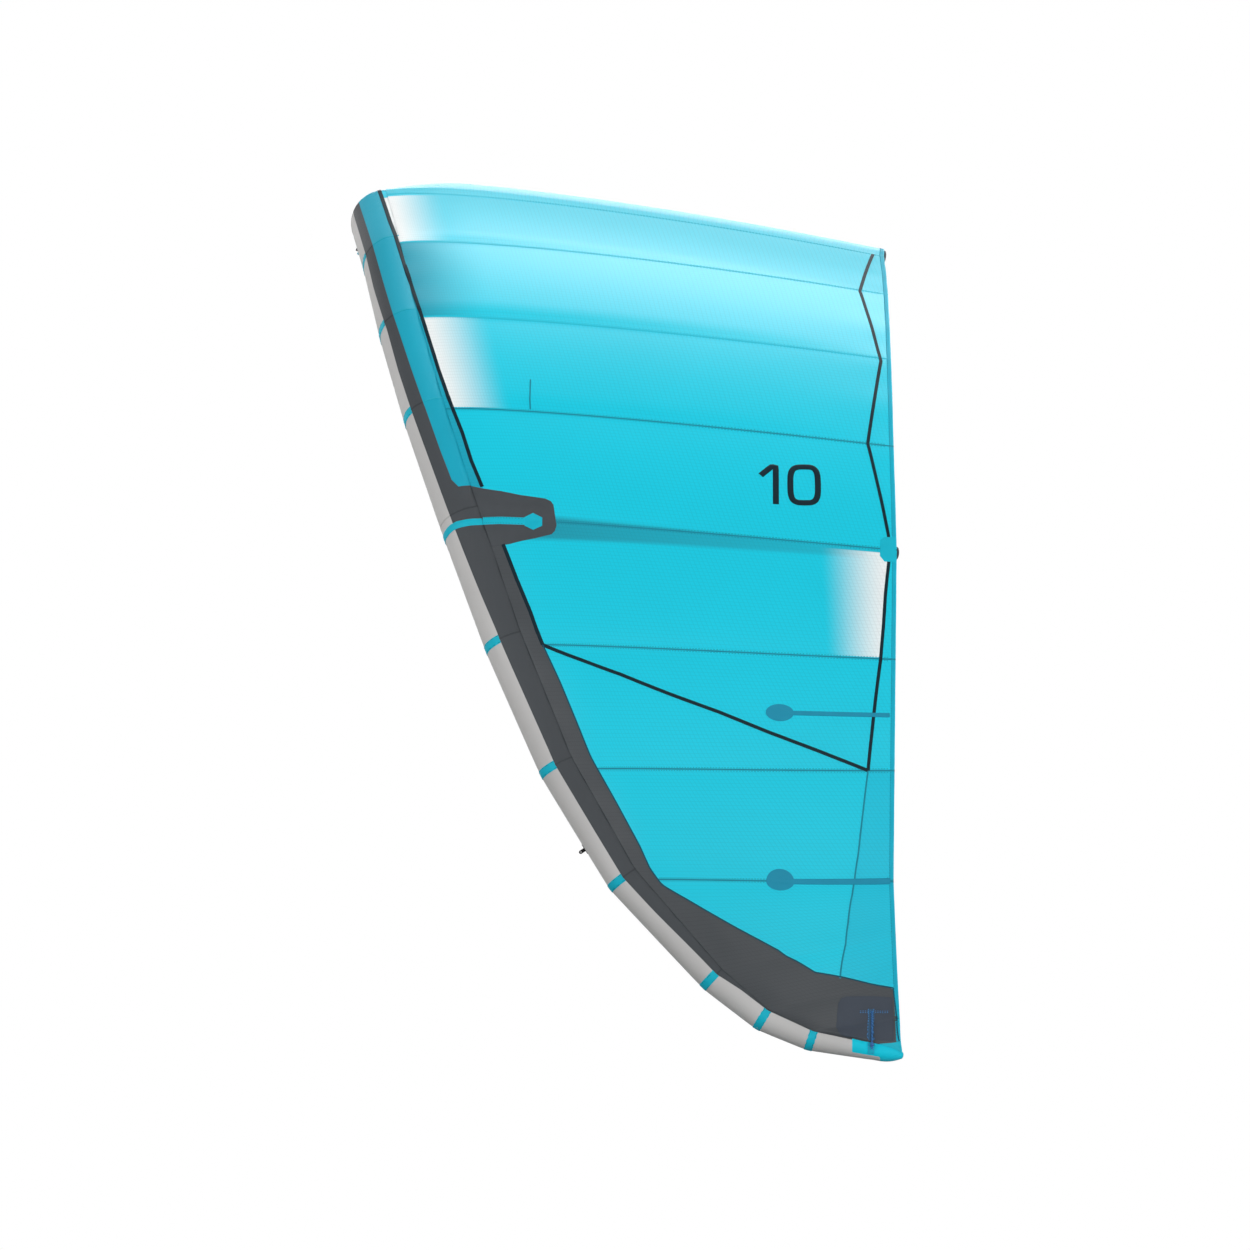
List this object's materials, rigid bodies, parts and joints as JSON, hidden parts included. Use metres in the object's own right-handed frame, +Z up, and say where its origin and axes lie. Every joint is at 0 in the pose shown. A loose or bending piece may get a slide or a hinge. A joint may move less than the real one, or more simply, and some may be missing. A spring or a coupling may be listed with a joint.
{
  "type": "kitesurfing kite",
  "caption": "Inflatable kitesurfing kite: a swept leading edge tube and struts hold a sewn canopy in an arch, with hoses, pinch clips, a capped valve, bridle tabs and wingtip pigtails.",
  "frame": {"origin": "middle of the leading edge tube's axis, on the kite's plane of symmetry", "axes": "+X to the kite's own left wingtip, +Y from the leading edge back to the trailing edge, +Z up, with the arch open downwards"},
  "size_m": [3.5514, 1.8193, 2.9001],
  "materials": {
    "edge_cloth": "woven polyester sailcloth, light and dark grey, matt",
    "canopy_cloth": "coated ripstop cloth, turquoise",
    "strut_cloth": "woven polyester sailcloth, dark grey, matt",
    "bladder_film": "thin polyurethane film",
    "hose_silicone": "translucent grey silicone",
    "clip_acetal": "moulded, satin black",
    "lever_acetal": "moulded, satin turquoise",
    "valve_nylon": "moulded, satin black",
    "plunger_nylon": "moulded, satin grey",
    "cap_nylon": "moulded, satin turquoise",
    "braided_line": "blue braided line",
    "webbing": "black woven webbing"
  },
  "bodies": {
    "root": {"leading_edge_middle": "edge_cloth", "leading_edge_left_1": "edge_cloth", "leading_edge_left_2": "edge_cloth", "leading_edge_left_3": "edge_cloth", "leading_edge_left_4": "edge_cloth", "leading_edge_left_5": "edge_cloth", "leading_edge_left_6": "edge_cloth", "leading_edge_left_7": "edge_cloth", "leading_edge_left_8": "edge_cloth", "leading_edge_left_9": "edge_cloth", "leading_edge_right_1": "edge_cloth", "leading_edge_right_2": "edge_cloth", "leading_edge_right_3": "edge_cloth", "leading_edge_right_4": "edge_cloth", "leading_edge_right_5": "edge_cloth", "leading_edge_right_6": "edge_cloth", "leading_edge_right_7": "edge_cloth", "leading_edge_right_8": "edge_cloth", "leading_edge_right_9": "edge_cloth", "canopy_middle": "canopy_cloth", "canopy_left_1": "canopy_cloth", "canopy_left_2": "canopy_cloth", "canopy_left_3": "canopy_cloth", "canopy_left_4": "canopy_cloth", "canopy_left_5": "canopy_cloth", "canopy_left_6": "canopy_cloth", "canopy_left_7": "canopy_cloth", "canopy_left_8": "canopy_cloth", "canopy_right_1": "canopy_cloth", "canopy_right_2": "canopy_cloth", "canopy_right_3": "canopy_cloth", "canopy_right_4": "canopy_cloth", "canopy_right_5": "canopy_cloth", "canopy_right_6": "canopy_cloth", "canopy_right_7": "canopy_cloth", "canopy_right_8": "canopy_cloth", "strut_middle": "strut_cloth", "bladder_strut_middle": "bladder_film", "hose_middle": "hose_silicone", "hose_clip_middle_base": "clip_acetal", "strut_left": "strut_cloth", "bladder_strut_left": "bladder_film", "hose_left": "hose_silicone", "hose_clip_left_base": "clip_acetal", "strut_right": "strut_cloth", "bladder_strut_right": "bladder_film", "hose_right": "hose_silicone", "hose_clip_right_base": "clip_acetal", "bladder_leading_edge": "bladder_film", "valve_base": "valve_nylon", "pigtail_left": "braided_line", "bridle_tab_left": "webbing", "pigtail_right": "braided_line", "bridle_tab_right": "webbing"},
    "cap": {"valve_cap": "cap_nylon"},
    "plunger": {"valve_plunger": "plunger_nylon"},
    "clip_lever_middle": {"hose_clip_middle_lever": "lever_acetal"},
    "clip_lever_left": {"hose_clip_left_lever": "lever_acetal"},
    "clip_lever_right": {"hose_clip_right_lever": "lever_acetal"}
  },
  "joints": [
    {"name": "cap_hinge", "type": "hinge", "parent": "root", "child": "cap", "pos_m": [0.16, -0.08572, -0.08865], "axis": [-1, 0, 0], "range_deg": [0, 140]},
    {"name": "plunger_slide", "type": "slide", "parent": "root", "child": "plunger", "axis": [0, 0.4883, 0.8727], "range_m": [0, 0.005], "stiffness_N_per_m": 200, "springref_m": -0.005},
    {"name": "clip_hinge_middle", "type": "hinge", "parent": "root", "child": "clip_lever_middle", "pos_m": [0, 0.3056, -0.05061], "axis": [-1, 0, 0], "range_deg": [0, 100]},
    {"name": "clip_hinge_left", "type": "hinge", "parent": "root", "child": "clip_lever_left", "pos_m": [1.34315, 0.56748, -1.05623], "axis": [-0.4293, -0.001, 0.9031], "range_deg": [0, 100]},
    {"name": "clip_hinge_right", "type": "hinge", "parent": "root", "child": "clip_lever_right", "pos_m": [-1.34315, 0.56748, -1.05623], "axis": [-0.4293, 0.001, -0.9031], "range_deg": [0, 100]}
  ]
}
